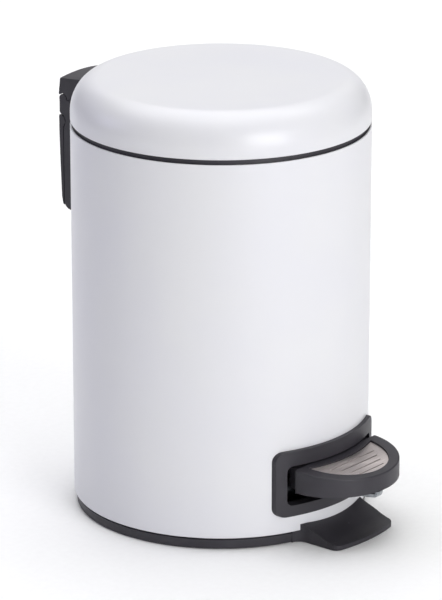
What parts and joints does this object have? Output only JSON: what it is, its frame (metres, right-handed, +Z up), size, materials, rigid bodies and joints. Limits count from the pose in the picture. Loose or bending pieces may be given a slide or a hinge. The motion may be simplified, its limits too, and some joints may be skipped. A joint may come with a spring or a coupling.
{
  "type": "pedal trash can",
  "caption": "Small round pedal bin: white steel body and domed lid, black plastic fittings, a foot pedal that lifts the lid by a push rod, and a lift-out inner bucket.",
  "frame": {"origin": "on the body's axis at floor level, on the underside of the base", "axes": "+Z up, the pedal points to -Y, the hinge and the carry handle are at +Y, +X is to the right seen from the front"},
  "size_m": [0.168, 0.2233, 0.2505],
  "materials": {
    "white_powder_coat": "satin powder coat",
    "black_plastic": "fine moulded grain",
    "bucket_plastic": "smooth moulded",
    "brushed_stainless": "brushed",
    "zinc_steel": "zinc plated",
    "black_rubber": "matt",
    "foam_sheet": "closed-cell foam"
  },
  "bodies": {
    "body": {"body_shell": "white_powder_coat", "top_collar": "black_plastic", "base_tray": "black_plastic", "anti_slip_disc": "foam_sheet", "stabiliser_foot": "black_plastic", "pedal_bezel": "black_plastic", "axle_bracket": "zinc_steel", "bracket_rivets": "zinc_steel", "lever_axle": "zinc_steel", "rod_guides": "black_plastic", "hinge_bracket": "black_plastic", "hinge_pin": "zinc_steel", "backing_plate": "zinc_steel", "housing_screws": "zinc_steel"},
    "lid": {"lid_shell": "white_powder_coat", "lid_liner": "black_plastic", "lid_screws": "zinc_steel", "lid_buffers": "black_rubber", "hinge_cap": "black_plastic", "crank_arm": "zinc_steel", "crank_pin": "zinc_steel", "crank_rivet": "zinc_steel"},
    "pedal": {"pedal_lever": "zinc_steel", "lever_bush": "zinc_steel", "pedal_cap": "black_plastic", "pedal_plate": "brushed_stainless", "pedal_screws": "zinc_steel"},
    "push_rod": {"push_rod": "zinc_steel", "rod_head": "black_plastic", "rod_foot": "black_plastic"},
    "handle": {"carry_handle": "black_plastic", "handle_pins": "zinc_steel"},
    "bucket": {"inner_bucket": "bucket_plastic"},
    "bail": {"bucket_bail": "zinc_steel", "bail_grip": "black_plastic"}
  },
  "joints": [
    {"name": "lid_hinge", "type": "hinge", "parent": "body", "child": "lid", "pos_m": [0, 0.1019, 0.222], "axis": [-1, 0, 0], "range_deg": [0, 75]},
    {"name": "pedal_pivot", "type": "hinge", "parent": "body", "child": "pedal", "pos_m": [0, -0.055, 0.02], "axis": [1, 0, 0], "range_deg": [0, 15]},
    {"name": "rod_slide", "type": "slide", "parent": "body", "child": "push_rod", "axis": [0, 0, 1], "range_m": [0, 0.03448]},
    {"name": "handle_pivot", "type": "hinge", "parent": "body", "child": "handle", "pos_m": [0, 0.104, 0.2086], "axis": [1, 0, 0], "range_deg": [0, 90]},
    {"name": "bucket_lift", "type": "slide", "parent": "body", "child": "bucket", "axis": [0, 0, 1], "range_m": [0, 0.008]},
    {"name": "bail_pivot", "type": "hinge", "parent": "bucket", "child": "bail", "pos_m": [0, -0.004, 0.2229], "axis": [-1, 0, 0], "range_deg": [0, 6]}
  ],
  "couplings": [
    {"joint": "pedal_pivot", "follows": "lid_hinge", "ratio": 0.19867},
    {"joint": "rod_slide", "follows": "lid_hinge", "m_per_rad": 0.026262}
  ]
}
